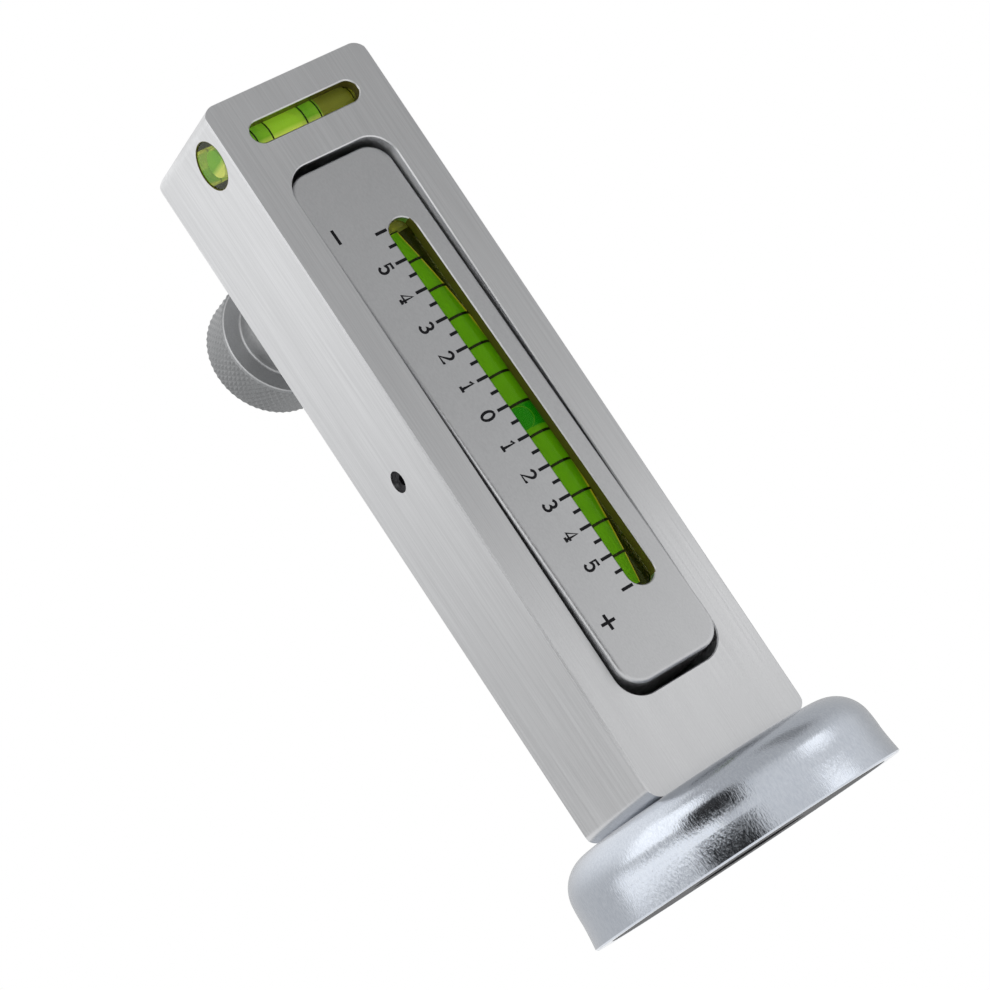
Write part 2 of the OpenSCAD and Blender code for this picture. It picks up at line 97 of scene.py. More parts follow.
def maths(tree, operation, *values):
    """A math node: each value is a number or the socket that feeds it."""
    node = tree.nodes.new("ShaderNodeMath")
    node.operation = operation
    for socket, value in zip(node.inputs, values):
        if isinstance(value, (int, float)):
            socket.default_value = value
        else:
            tree.links.new(value, socket)
    return node.outputs[0]


floor_paint, tree, out = new_material("floor_paint")
diffuse = tree.nodes.new("ShaderNodeBsdfDiffuse")
diffuse.inputs["Color"].default_value = (0.9, 0.9, 0.9, 1)
clear = tree.nodes.new("ShaderNodeBsdfTransparent")
glow = tree.nodes.new("ShaderNodeEmission")
path = tree.nodes.new("ShaderNodeLightPath")
side = tree.nodes.new("ShaderNodeNewGeometry")
mirrored = tree.nodes.new("ShaderNodeMixShader")
above = tree.nodes.new("ShaderNodeMixShader")
seen = maths(tree, "MAXIMUM", path.outputs["Is Glossy Ray"], path.outputs["Is Transmission Ray"])
tree.links.new(seen, mirrored.inputs[0])
tree.links.new(diffuse.outputs[0], mirrored.inputs[1])
tree.links.new(glow.outputs[0], mirrored.inputs[2])
tree.links.new(side.outputs["Backfacing"], above.inputs[0])
tree.links.new(mirrored.outputs[0], above.inputs[1])
tree.links.new(clear.outputs[0], above.inputs[2])
tree.links.new(above.outputs[0], out.inputs["Surface"])
floor.data.materials.append(floor_paint)

world = bpy.data.worlds.new("studio")
world.use_nodes = True
scene.world = world
tree = world.node_tree
tree.nodes.clear()
out = tree.nodes.new("ShaderNodeOutputWorld")
white = tree.nodes.new("ShaderNodeBackground")
white.inputs["Color"].default_value = (1, 1, 1, 1)
soft = tree.nodes.new("ShaderNodeBackground")
soft.inputs["Color"].default_value = (1, 1, 1, 1)
soft.inputs["Strength"].default_value = surround_glow
path = tree.nodes.new("ShaderNodeLightPath")
mix = tree.nodes.new("ShaderNodeMixShader")
seen = maths(tree, "MAXIMUM", path.outputs["Is Glossy Ray"], path.outputs["Is Transmission Ray"])
seen = maths(tree, "MAXIMUM", seen, path.outputs["Is Camera Ray"])
tree.links.new(seen, mix.inputs[0])
tree.links.new(soft.outputs[0], mix.inputs[1])
tree.links.new(white.outputs[0], mix.inputs[2])
tree.links.new(mix.outputs[0], out.inputs["Surface"])


def from_middle(azimuth, lift, distance=1.0):
    """The point that lies in a direction, in degrees, from the middle of the gauge."""
    turn, rise = math.radians(azimuth), math.radians(lift)
    return middle + distance * Vector(
        (math.cos(turn) * math.cos(rise), math.sin(turn) * math.cos(rise), math.sin(rise)))


def soft_box(name, azimuth, lift, distance, width, height, power):
    """An area lamp that faces the gauge."""
    place = from_middle(azimuth, lift, distance)
    bpy.ops.object.light_add(type="AREA", location=place)
    lamp = bpy.context.object
    lamp.name = name
    lamp.data.shape = "RECTANGLE"
    lamp.data.size = width
    lamp.data.size_y = height
    lamp.data.energy = power
    lamp.rotation_euler = (middle - place).to_track_quat("-Z", "Y").to_euler()


soft_box("box_left", -170, 46, 1.0, 0.8, 0.7, 2.4)
soft_box("box_back", 110, 66, 1.1, 0.7, 0.6, 1.3)

# A light tent that only the metal mirrors: grey cloth with lit and dark panels. Each panel
# is its azimuth, its lift, half its width and height, its soft edge, and its brightness.
tent_radius = 0.2
tent_grey = 0.53
tent_panels = (
    (125, -10, 45, 20, 20, 0.62),
    (125, 45, 45, 13, 50, 1.02),
    (-60, -22, 42, 6, 36, 0.8),
    (-45, -8, 11, 4, 4, 1.35),
    (-168, 22, 22, 24, 7, 1.35),
    (-148, 26, 14, 16, 8, 1.3),
    (-165, -17, 38, 3, 3, 1.25),
    (-126, -3, 18, 9, 4, 0.03),
    (-126, 8, 12, 4, 10, 0.05),
    (-30, 38, 10, 10, 14, 0.3),
)

bpy.ops.mesh.primitive_uv_sphere_add(segments=48, ring_count=24, radius=tent_radius,
                                     location=middle)
tent = bpy.context.object
tent.name = "tent"
for seen_by in ("camera", "diffuse", "shadow", "transmission", "volume_scatter"):
    setattr(tent, "visible_" + seen_by, False)

cloth, tree, out = new_material("tent_cloth")
where = tree.nodes.new("ShaderNodeTexCoord")
split = tree.nodes.new("ShaderNodeSeparateXYZ")
tree.links.new(where.outputs["Object"], split.inputs[0])
azimuth = maths(tree, "DEGREES", maths(tree, "ARCTAN2", split.outputs[1], split.outputs[0]))
lift = maths(tree, "DEGREES", maths(
    tree, "ARCSINE", maths(tree, "DIVIDE", split.outputs[2], tent_radius)))
shade = tent_grey
for turn, rise, half_width, half_height, edge, brightness in tent_panels:
    off = maths(tree, "WRAP", maths(tree, "SUBTRACT", azimuth, turn), 180, -180)
    reach = []
    for distance, half in ((off, half_width), (maths(tree, "SUBTRACT", lift, rise), half_height)):
        fade = tree.nodes.new("ShaderNodeMapRange")
        fade.interpolation_type = "SMOOTHSTEP"
        fade.inputs["From Min"].default_value = half + edge
        fade.inputs["From Max"].default_value = half
        tree.links.new(maths(tree, "ABSOLUTE", distance), fade.inputs["Value"])
        reach.append(fade.outputs[0])
    lit = maths(tree, "MULTIPLY", *reach)
    gain = maths(tree, "MULTIPLY", lit, maths(tree, "SUBTRACT", brightness, shade))
    shade = maths(tree, "ADD", gain, shade)
glow = tree.nodes.new("ShaderNodeEmission")
tree.links.new(shade, glow.inputs["Strength"])
tree.links.new(glow.outputs[0], out.inputs["Surface"])
tent.data.materials.append(cloth)


# ---- Body block ----
# Milled from a bar of aluminium: its faces are brushed along their length and clear
# anodised, and its edges are left nearly sharp.
block_colour = (0.74, 0.745, 0.755, 1)
block_dark = (0.6, 0.605, 0.615, 1)
block_roughness = (0.3, 0.44)
# Painted reflection: inside the vial bores and their windows the metal is painted this dark olive,
# the tint the walls would mirror from the vial.
olive_reflection_colour = (0.085, 0.072, 0.008, 1)
grain_pitch = 0.00034
grain_stretch = 0.016


def make_brushing():
    """Grain of long fine scratches along Z: out come a streak mask, which metal() also takes as a
    height, and a wide tone.
    """
    group = bpy.data.node_groups.new("brushing", "ShaderNodeTree")
    face = group.interface
    for name, value in (("Pitch", grain_pitch), ("Stretch", grain_stretch)):
        face.new_socket(name, in_out="INPUT", socket_type="NodeSocketFloat").default_value = value
    face.new_socket("Streaks", in_out="OUTPUT", socket_type="NodeSocketFloat")
    face.new_socket("Tone", in_out="OUTPUT", socket_type="NodeSocketFloat")
    add = group.nodes.new
    link = group.links.new
    source = add("NodeGroupInput")
    result = add("NodeGroupOutput")
    where = add("ShaderNodeTexCoord")
    along = add("ShaderNodeCombineXYZ")
    along.inputs[0].default_value = 1
    along.inputs[1].default_value = 1
    squeeze = add("ShaderNodeVectorMath")
    squeeze.operation = "MULTIPLY"
    count = add("ShaderNodeMath")
    count.operation = "DIVIDE"
    count.inputs[0].default_value = 1
    link(source.outputs["Stretch"], along.inputs[2])
    link(where.outputs["Object"], squeeze.inputs[0])
    link(along.outputs[0], squeeze.inputs[1])
    link(source.outputs["Pitch"], count.inputs[1])
    streaks = add("ShaderNodeTexNoise")
    streaks.inputs["Detail"].default_value = 3
    streaks.inputs["Roughness"].default_value = 0.6
    link(squeeze.outputs[0], streaks.inputs["Vector"])
    link(count.outputs[0], streaks.inputs["Scale"])
    broad = add("ShaderNodeTexNoise")
    broad.inputs["Scale"].default_value = 260
    broad.inputs["Detail"].default_value = 2
    link(squeeze.outputs[0], broad.inputs["Vector"])
    clear_cut = add("ShaderNodeMapRange")
    clear_cut.inputs["From Min"].default_value = 0.36
    clear_cut.inputs["From Max"].default_value = 0.64
    link(streaks.outputs["Fac"], clear_cut.inputs["Value"])
    link(clear_cut.outputs[0], result.inputs["Streaks"])
    link(broad.outputs["Fac"], result.inputs["Tone"])
    return group


brushing = make_brushing()


def make_round_axis():
    """Distance from an axis and along it, from a point on the axis and its direction."""
    group = bpy.data.node_groups.new("round_axis", "ShaderNodeTree")
    face = group.interface
    face.new_socket("Middle", in_out="INPUT", socket_type="NodeSocketVector")
    face.new_socket("Direction", in_out="INPUT", socket_type="NodeSocketVector")
    face.new_socket("Out", in_out="OUTPUT", socket_type="NodeSocketFloat")
    face.new_socket("Along", in_out="OUTPUT", socket_type="NodeSocketFloat")
    add = group.nodes.new
    link = group.links.new
    source = add("NodeGroupInput")
    result = add("NodeGroupOutput")
    where = add("ShaderNodeTexCoord")
    arm = add("ShaderNodeVectorMath")
    arm.operation = "SUBTRACT"
    turned = add("ShaderNodeVectorMath")
    turned.operation = "CROSS_PRODUCT"
    length = add("ShaderNodeVectorMath")
    length.operation = "LENGTH"
    along = add("ShaderNodeVectorMath")
    along.operation = "DOT_PRODUCT"
    link(where.outputs["Object"], arm.inputs[0])
    link(source.outputs["Middle"], arm.inputs[1])
    link(arm.outputs[0], turned.inputs[0])
    link(source.outputs["Direction"], turned.inputs[1])
    link(turned.outputs[0], length.inputs[0])
    link(arm.outputs[0], along.inputs[0])
    link(source.outputs["Direction"], along.inputs[1])
    link(length.outputs["Value"], result.inputs["Out"])
    link(along.outputs["Value"], result.inputs["Along"])
    return group


round_axis = make_round_axis()


def metal(name, colour, dark, roughness, group, bump, settings=(), brushed=0, bore=None):
    """A metal whose colour, roughness and surface follow a group's streaks and tone.

    A bore is its middle, its direction and its radius, then the reach and half the length of the
    window over it, and half the length of the bore. In it the colour is a painted reflection,
    the dark olive the walls would mirror from the vial, with no metal shine.
    """
    made, tree, out = new_material(name)
    add = tree.nodes.new
    link = tree.links.new
    shader = add("ShaderNodeBsdfPrincipled")
    shader.inputs["Metallic"].default_value = 1
    if brushed:
        shader.inputs["Anisotropic"].default_value = brushed
        across = add("ShaderNodeTangent")
        across.direction_type = "RADIAL"
        across.axis = "Z"
        link(across.outputs[0], shader.inputs["Tangent"])
    pattern = add("ShaderNodeGroup")
    pattern.node_tree = group
    for socket, value in settings:
        pattern.inputs[socket].default_value = value
    paint = add("ShaderNodeMix")
    paint.data_type = "RGBA"
    paint.inputs["A"].default_value = dark
    paint.inputs["B"].default_value = colour
    blend = add("ShaderNodeMath")
    blend.operation = "MULTIPLY_ADD"
    blend.inputs[1].default_value = 0.6
    tone = add("ShaderNodeMath")
    tone.operation = "MULTIPLY"
    tone.inputs[1].default_value = 0.4
    gloss = add("ShaderNodeMapRange")
    gloss.inputs["To Min"].default_value = roughness[0]
    gloss.inputs["To Max"].default_value = roughness[1]
    relief = add("ShaderNodeBump")
    relief.inputs["Distance"].default_value = bump
    relief.inputs["Strength"].default_value = 1
    link(pattern.outputs["Tone"], tone.inputs[0])
    link(pattern.outputs["Streaks"], blend.inputs[0])
    link(tone.outputs[0], blend.inputs[2])
    link(blend.outputs[0], paint.inputs["Factor"])
    colour_out = paint.outputs["Result"]
    if bore:
        # Painted reflection: within the bore's radius, and within the window's reach along it, the
        # colour turns the dark olive the walls would mirror from the vial, and the metal stops
        # being metallic.
        axis = add("ShaderNodeGroup")
        axis.node_tree = round_axis
        axis.inputs["Middle"].default_value = bore[0]
        axis.inputs["Direction"].default_value = bore[1]
        away = maths(tree, "ABSOLUTE", axis.outputs["Along"])
        metal_shows = maths(tree, "MULTIPLY",
                     maths(tree, "GREATER_THAN", axis.outputs["Out"], bore[2]),
                     maths(tree, "MAXIMUM",
                           maths(tree, "GREATER_THAN", axis.outputs["Out"], bore[3]),
                           maths(tree, "GREATER_THAN", away, bore[4])))
        metal_shows = maths(tree, "MAXIMUM", metal_shows, maths(tree, "GREATER_THAN", away, bore[5]))
        olive_reflection = add("ShaderNodeMix")
        olive_reflection.data_type = "RGBA"
        olive_reflection.inputs["A"].default_value = olive_reflection_colour
        link(metal_shows, olive_reflection.inputs["Factor"])
        link(colour_out, olive_reflection.inputs["B"])
        link(metal_shows, shader.inputs["Metallic"])
        colour_out = olive_reflection.outputs["Result"]
    link(colour_out, shader.inputs["Base Color"])
    link(pattern.outputs["Streaks"], gloss.inputs["Value"])
    link(gloss.outputs[0], shader.inputs["Roughness"])
    link(pattern.outputs["Streaks"], relief.inputs["Height"])
    link(relief.outputs[0], shader.inputs["Normal"])
    link(shader.outputs[0], out.inputs["Surface"])
    return made


def dress(node, material):
    """Gives a CAD node one material all over."""
    slots = nodes[node].data.materials
    slots.clear()
    slots.append(material)


cross_low, cross_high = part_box("cross_vial_tube")
cross_middle = (cross_low + cross_high) / 2
cross_painted_olive_radius = 0.00445
cross_window_reach = 0.0062
cross_window_half = 0.0143
cross_painted_olive_half = 0.0152
scratch_depth = 0.000006
# The block's aluminium, painted with the olive reflection of the cross vial in its bore and
# window.
brushed = metal("brushed_aluminium", block_colour, block_dark, block_roughness, brushing,
                scratch_depth, brushed=0.8,
                bore=(cross_middle, (1, 0, 0), cross_painted_olive_radius, cross_window_reach,
                      cross_window_half, cross_painted_olive_half))

block_low, block_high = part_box("body_block")
block_corner = 0.0028
block_back_edge = 0.002
block_edge = 0.0003
mouth_edge = 0.0002
cut_past = 0.001
same_place = 1e-6
pivot_at = Vector(joints["plate_tilt"]["pos_m"])
screw_at = Vector(joints["knob_turn"]["pos_m"])
pocket_corner = 0.005
pocket_half_width = 0.011
pocket_half_height = 0.053
pocket_depth = 0.021
pocket_floor = block_low.y + pocket_depth
window_half_width = 0.0115
window_half_height = 0.0021
vial_fit = 0.0001
cross_bore_radius = (cross_high.z - cross_low.z) / 2 + vial_fit
cross_bore_end = 0.0122
pivot_hole_radius = 0.002
screw_hole_radius = 0.00305
spring_seat_radius = 0.00335
spring_seat_depth = 0.0012
spring_seat_floor = pocket_floor + spring_seat_depth
spring_down = 0.04
spring_z = pivot_at.z - spring_down
magnet_hole_radius = 0.003
magnet_hole_depth = 0.0115


def bar(low, high, axis, radius, steps, back_only=False):
    """A bar whose edges along one axis are rounded, all four or just those at its back."""
    low = Vector(low)
    high = Vector(high)
    bpy.ops.object.select_all(action="DESELECT")
    bpy.ops.mesh.primitive_cube_add(size=1, location=(low + high) / 2, scale=high - low)
    piece = bpy.context.object
    bpy.ops.object.transform_apply(location=True, rotation=True, scale=True)
    bpy.ops.object.mode_set(mode="EDIT")
    bpy.ops.mesh.select_mode(type="EDGE")
    bpy.ops.mesh.select_all(action="DESELECT")
    bpy.ops.object.mode_set(mode="OBJECT")
    for edge in piece.data.edges:
        start, end = (piece.data.vertices[i].co for i in edge.vertices)
        at_back = start.y > (low.y + high.y) / 2
        edge.select = abs(start[axis] - end[axis]) > radius and (at_back or not back_only)
    bpy.ops.object.mode_set(mode="EDIT")
    bpy.ops.mesh.bevel(offset=radius, segments=steps, affect="EDGES")
    bpy.ops.mesh.select_all(action="SELECT")
    bpy.ops.mesh.remove_doubles(threshold=same_place)
    bpy.ops.object.mode_set(mode="OBJECT")
    return piece


def rod(start, end, radius):
    """A round rod between two points."""
    start = Vector(start)
    end = Vector(end)
    turn = (end - start).to_track_quat("Z", "Y").to_euler()
    bpy.ops.object.select_all(action="DESELECT")
    bpy.ops.mesh.primitive_cylinder_add(vertices=64, radius=radius, depth=(end - start).length,
                                        location=(start + end) / 2, rotation=turn)
    return bpy.context.object


def cut(piece, tool, operation="DIFFERENCE"):
    """Cuts a piece with a tool, and deletes the tool."""
    bpy.ops.object.select_all(action="DESELECT")
    piece.select_set(True)
    bpy.context.view_layer.objects.active = piece
    change = piece.modifiers.new("cut", "BOOLEAN")
    change.operation = operation
    change.solver = "EXACT"
    change.object = tool
    bpy.ops.object.modifier_apply(modifier=change.name)
    bpy.ops.object.select_all(action="DESELECT")
    tool.select_set(True)
    bpy.ops.object.delete()
    bpy.context.view_layer.objects.active = piece


def finish_piece(piece, name, material, body, angle=30):
    """Applies a piece's place, smooths it, and makes it ride on its body."""
    bpy.ops.object.select_all(action="DESELECT")
    piece.select_set(True)
    bpy.context.view_layer.objects.active = piece
    bpy.ops.object.transform_apply(location=True, rotation=True, scale=True)
    bpy.ops.object.shade_smooth_by_angle(angle=math.radians(angle))
    piece.name = name
    piece.data.name = name
    piece.data.materials.clear()
    piece.data.materials.append(material)
    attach(piece, body)
    return piece


# the bar: its outline from the front, then from the side, then from above
across = Vector((0, cut_past, 0))
beside = Vector((cut_past, 0, 0))
block = bar(block_low - across, block_high + across, 1, block_corner, 12)
cut(block, bar(block_low - beside, block_high + beside, 0, block_back_edge, 10, True),
    "INTERSECT")
cut(block, bar((block_low.x, block_low.y, block_low.z - cut_past),
               (block_high.x, block_high.y, block_high.z + cut_past), 2, block_edge, 1),
    "INTERSECT")

# the pocket, the window and the round holes
cut(block, bar((-pocket_half_width, block_low.y - cut_past, pivot_at.z - pocket_half_height),
               (pocket_half_width, pocket_floor, pivot_at.z + pocket_half_height),
               1, pocket_corner, 16))
cut(block, bar((-window_half_width, block_low.y - cut_past, cross_middle.z - window_half_height),
               (window_half_width, cross_middle.y, cross_middle.z + window_half_height),
               1, window_half_height, 12))
for start, end, radius in (
        ((block_low.x - cut_past, cross_middle.y, cross_middle.z),
         (cross_bore_end, cross_middle.y, cross_middle.z), cross_bore_radius),
        ((block_low.x - cut_past, pivot_at.y, pivot_at.z),
         (block_high.x + cut_past, pivot_at.y, pivot_at.z), pivot_hole_radius),
        ((0, pocket_floor - cut_past, screw_at.z),
         (0, block_high.y + cut_past, screw_at.z), screw_hole_radius),
        ((0, pocket_floor - cut_past, spring_z), (0, spring_seat_floor, spring_z),
         spring_seat_radius),
        ((0, 0, block_low.z - cut_past), (0, 0, block_low.z + magnet_hole_depth),
         magnet_hole_radius)):
    cut(block, rod(start, end, radius))

# the chamfer round both mouths in the front
bpy.ops.object.mode_set(mode="EDIT")
bpy.ops.mesh.select_mode(type="EDGE")
bpy.ops.mesh.select_all(action="DESELECT")
bpy.ops.object.mode_set(mode="OBJECT")
for edge in block.data.edges:
    places = [block.data.vertices[i].co for i in edge.vertices]
    edge.select = all(place.y - block_low.y < same_place
                      and abs(place.x) < window_half_width + cut_past for place in places)
bpy.ops.object.mode_set(mode="EDIT")
bpy.ops.mesh.bevel(offset=mouth_edge, segments=1, affect="EDGES")
bpy.ops.object.mode_set(mode="OBJECT")
even = block.modifiers.new("even", "WEIGHTED_NORMAL")
even.keep_sharp = True
finish_piece(block, "block_milled", brushed, "stand", 25)
bpy.ops.object.modifier_apply(modifier=even.name)
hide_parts("body_block")


# ---- Magnet ----
# A pressed steel cup with bright blue-white zinc plating, a ferrite ring glued in it, and
# a black countersunk screw that holds it to the block.
zinc_colour = (0.68, 0.72, 0.78, 1)
zinc_dark = (0.56, 0.60, 0.67, 1)
zinc = metal("zinc_plating", zinc_colour, zinc_dark, (0.08, 0.18), brushing, 0.00001,
             (("Pitch", 0.0003), ("Stretch", 0.3)))
cup_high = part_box("magnet_cup")[1]
rim_radius = cup_high.x
cup_height = cup_high.z
cup_wall_radius = 0.0298
cup_inner_radius = 0.0273
cup_base_z = 0.0105
hole_radius = 0.0032
head_radius = 0.00601
rim_edge = 0.0003
flare_top = 0.005
shoulder_start = 0.0085
shoulder_lean = math.radians(7)
cup_sides = 160

# the wall leans in a little before the shoulder turns over it
lean_in = math.tan(shoulder_lean) / (2 * (shoulder_start - flare_top))
shoulder_foot = cup_wall_radius - lean_in * (shoulder_start - flare_top) ** 2
shoulder_radius = (cup_height - shoulder_start) / (1 - math.sin(shoulder_lean))
arc_r = shoulder_foot - shoulder_radius * math.cos(shoulder_lean)
arc_z = cup_height - shoulder_radius
cup_profile = [(hole_radius, cup_height)]
for i in range(25):
    turn = math.radians(90) + (shoulder_lean - math.radians(90)) * i / 24
    cup_profile.append((arc_r + shoulder_radius * math.cos(turn),
                        arc_z + shoulder_radius * math.sin(turn)))
for i in range(1, 9):
    z = shoulder_start + (flare_top - shoulder_start) * i / 8
    cup_profile.append((cup_wall_radius - lean_in * (z - flare_top) ** 2, z))
for i in range(1, 13):
    t = (i / 12) ** 1.5
    cup_profile.append((cup_wall_radius + (rim_radius - cup_wall_radius) * (0.6 * t + 0.4 * t * t),
                        flare_top + (rim_edge - flare_top) * t))
cup_profile += [(rim_radius - rim_edge, 0), (cup_inner_radius + rim_edge, 0),
                (cup_inner_radius, rim_edge), (cup_inner_radius, cup_base_z),
                (head_radius, cup_base_z),
                (hole_radius, cup_base_z + head_radius - hole_radius)]

bpy.ops.object.select_all(action="DESELECT")
bpy.ops.mesh.primitive_circle_add(vertices=cup_sides, radius=cup_profile[0][0],
                                  location=(0, 0, cup_profile[0][1]))
cup = bpy.context.object
bpy.ops.object.transform_apply(location=True)
bpy.ops.object.mode_set(mode="EDIT")
bpy.ops.mesh.select_all(action="SELECT")
for (radius, z), (next_radius, next_z) in zip(cup_profile, cup_profile[1:]):
    bpy.ops.mesh.extrude_edges_move(TRANSFORM_OT_translate={"value": (0, 0, next_z - z)})
    factor = next_radius / radius
    bpy.ops.transform.resize(value=(factor, factor, 1), center_override=(0, 0, next_z))
bpy.ops.mesh.select_all(action="DESELECT")
bpy.ops.mesh.select_non_manifold()
bpy.ops.mesh.bridge_edge_loops()
bpy.ops.mesh.select_all(action="SELECT")
bpy.ops.mesh.normals_make_consistent(inside=False)
bpy.ops.object.mode_set(mode="OBJECT")
finish_piece(cup, "magnet_cup_plated", zinc, "stand", 20)
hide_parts("magnet_cup")


def plain(name, colour, roughness, metallic, bump=0.00001, pitch=0.0004, shine=0.5):
    """A dull or cast surface: a fine grain in its colour, roughness and relief."""
    made, tree, out = new_material(name)
    add = tree.nodes.new
    link = tree.links.new
    shader = add("ShaderNodeBsdfPrincipled")
    shader.inputs["Metallic"].default_value = metallic
    shader.inputs["Specular IOR Level"].default_value = shine
    where = add("ShaderNodeTexCoord")
    grain = add("ShaderNodeTexNoise")
    grain.inputs["Scale"].default_value = 1 / pitch
    grain.inputs["Detail"].default_value = 3
    paint = add("ShaderNodeMix")
    paint.data_type = "RGBA"
    paint.inputs["A"].default_value = tuple(c * 0.8 for c in colour[:3]) + (1,)
    paint.inputs["B"].default_value = tuple(min(1, c * 1.15) for c in colour[:3]) + (1,)
    gloss = add("ShaderNodeMapRange")
    gloss.inputs["To Min"].default_value = roughness - 0.08
    gloss.inputs["To Max"].default_value = roughness + 0.08
    relief = add("ShaderNodeBump")
    relief.inputs["Distance"].default_value = bump
    link(where.outputs["Object"], grain.inputs["Vector"])
    link(grain.outputs["Fac"], paint.inputs["Factor"])
    link(grain.outputs["Fac"], gloss.inputs["Value"])
    link(grain.outputs["Fac"], relief.inputs["Height"])
    link(paint.outputs["Result"], shader.inputs["Base Color"])
    link(gloss.outputs[0], shader.inputs["Roughness"])
    link(relief.outputs[0], shader.inputs["Normal"])
    link(shader.outputs[0], out.inputs["Surface"])
    return made


dress("magnet_ring", plain("ferrite", (0.05, 0.05, 0.055, 1), 0.6, 0.0))
black_oxide = plain("black_oxide", (0.022, 0.022, 0.025, 1), 0.35, 0.6)
dress("magnet_screw", black_oxide)


# ---- Pivot screws ----
# Two black socket set screws, sunk in the block's sides, whose points carry the plate.
dress("pivot_screw_left", black_oxide)
dress("pivot_screw_right", black_oxide)


# ---- Camber plate ----
# Machined aluminium with a fine matte blast and a round front edge. It hangs between the
# pivot screws and leans back at its upper end.
rest_tilt = math.radians(2.05)
plate_place = Matrix.Translation(pivot_at) @ Matrix.Rotation(-rest_tilt, 4, "X")
plate_up = plate_place.to_3x3() @ Vector((0, 0, 1))
plate_face = -0.0124
camber_vial = Vector((0.00405, plate_face + 0.0057, 0))
camber_painted_olive_radius = 0.0045
camber_slot_reach = 0.00615
camber_slot_half = 0.0367
camber_painted_olive_half = 0.0425
# The plate's aluminium, painted with the olive reflection of the camber vial in its bore and slot.
plate_metal = metal("matte_aluminium", (0.62, 0.625, 0.635, 1), (0.54, 0.545, 0.555, 1),
                    (0.36, 0.46), brushing, 0.000004, (("Pitch", 0.0003), ("Stretch", 0.5)),
                    bore=(plate_place @ camber_vial, plate_up, camber_painted_olive_radius,
                          camber_slot_reach, camber_slot_half, camber_painted_olive_half))
dress("camber_plate", plate_metal)


# ---- Scale on the camber plate ----
# Black filled marks: a long one at each degree, a short one at each half, plain numerals
# that read along the plate, and a sign at each end.
degree_pitch = 0.0061
last_degree = 6
mark_right = 0.00122
full_mark = 0.0024
half_mark = 0.0016
mark_width = 0.00058
ink_proud = 0.00002
numeral_x = -0.0033
numeral_height = 0.0025
stroke = 0.00052
sign_height = 0.0042
sign_stroke = 0.0006
sign_places = (("minus", (-0.0079, 0.0392)), ("plus", (-0.0069, -0.04)))

ink = plain("black_ink", (0.008, 0.008, 0.01, 1), 0.5, 0.0, 0.000002, shine=0.1)


def join(pieces):
    """Joins separate objects into one."""
    bpy.ops.object.select_all(action="DESELECT")
    for piece in pieces:
        piece.select_set(True)
    bpy.context.view_layer.objects.active = pieces[0]
    bpy.ops.object.join()
    return bpy.context.object


marks = []
bpy.ops.object.select_all(action="DESELECT")
for half in range(-2 * last_degree, 2 * last_degree + 1):
    length = half_mark if half % 2 else full_mark
    bpy.ops.mesh.primitive_cube_add(
        size=1, location=(mark_right - length / 2, plate_face, half * degree_pitch / 2),
        scale=(length, 2 * ink_proud, mark_width))
    marks.append(bpy.context.object)
scale_marks = join(marks)
scale_marks.matrix_world = plate_place @ scale_marks.matrix_world
finish_piece(scale_marks, "scale_marks", ink, "plate")


def arc(x, y, width, height, start, end, steps=9):
    """Points on an ellipse, between two angles in degrees."""
    turns = [math.radians(start + (end - start) * i / steps) for i in range(steps + 1)]
    return [(x + width * math.cos(t), y + height * math.sin(t)) for t in turns]


# strokes of each numeral and sign, in a box one unit high
numeral_strokes = {
    "0": [arc(0, 0, 0.29, 0.5, 90, 450, 20)],
    "1": [[(-0.2, 0.32), (0.02, 0.5), (0.02, -0.5)], [(-0.22, -0.5), (0.26, -0.5)]],
    "2": [arc(0, 0.22, 0.27, 0.28, 165, -35) + [(-0.3, -0.5), (0.3, -0.5), (0.3, -0.38)]],
    "3": [arc(0, 0.25, 0.25, 0.25, 150, -90) + arc(0, -0.23, 0.3, 0.27, 80, -150, 12)],
    "4": [[(0.12, -0.5), (0.12, 0.5), (-0.3, -0.22), (0.32, -0.22)], [(-0.08, -0.5), (0.3, -0.5)]],
    "5": [[(0.24, 0.5), (-0.2, 0.5), (-0.23, 0.04)] + arc(0, -0.17, 0.29, 0.33, 130, -150, 12)],
    "minus": [[(-0.35, 0), (0.35, 0)]],
    "plus": [[(-0.35, 0), (0.35, 0)], [(0, -0.35), (0, 0.35)]],
}


def draw_strokes(strokes, height, width):
    """Flat strokes as a mesh: X along the word, Z up, its middle at the origin."""
    data = bpy.data.curves.new("strokes", "CURVE")
    data.dimensions = "3D"
    data.bevel_depth = width / 2
    data.bevel_resolution = 2
    data.use_fill_caps = True
    for stroke_points in strokes:
        line = data.splines.new("POLY")
        line.points.add(len(stroke_points) - 1)
        for point, (x, y) in zip(line.points, stroke_points):
            point.co = (x * height, 0, y * height, 1)
    drawn = bpy.data.objects.new("strokes", data)
    scene.collection.objects.link(drawn)
    bpy.ops.object.select_all(action="DESELECT")
    drawn.select_set(True)
    bpy.context.view_layer.objects.active = drawn
    bpy.ops.object.convert(target="MESH")
    return bpy.context.object


# the numerals lie on their side: their tops point to the vial, and they read downwards
reading = Matrix(((0, 0, 1, 0), (0, ink_proud / (stroke / 2), 0, 0), (-1, 0, 0, 0), (0, 0, 0, 1)))
numerals = []
for degree in range(-5, 6):
    numeral = draw_strokes(numeral_strokes[str(abs(degree))], numeral_height, stroke)
    numeral.data.transform(reading)
    numeral.location = (numeral_x, plate_face, -degree * degree_pitch)
    numerals.append(numeral)
for sign, place in sign_places:
    drawn = draw_strokes(numeral_strokes[sign], sign_height, sign_stroke)
    drawn.data.transform(reading)
    drawn.location = (place[0], plate_face, place[1])
    numerals.append(drawn)
scale_numerals = join(numerals)
scale_numerals.matrix_world = plate_place @ scale_numerals.matrix_world
finish_piece(scale_numerals, "scale_numerals", ink, "plate")


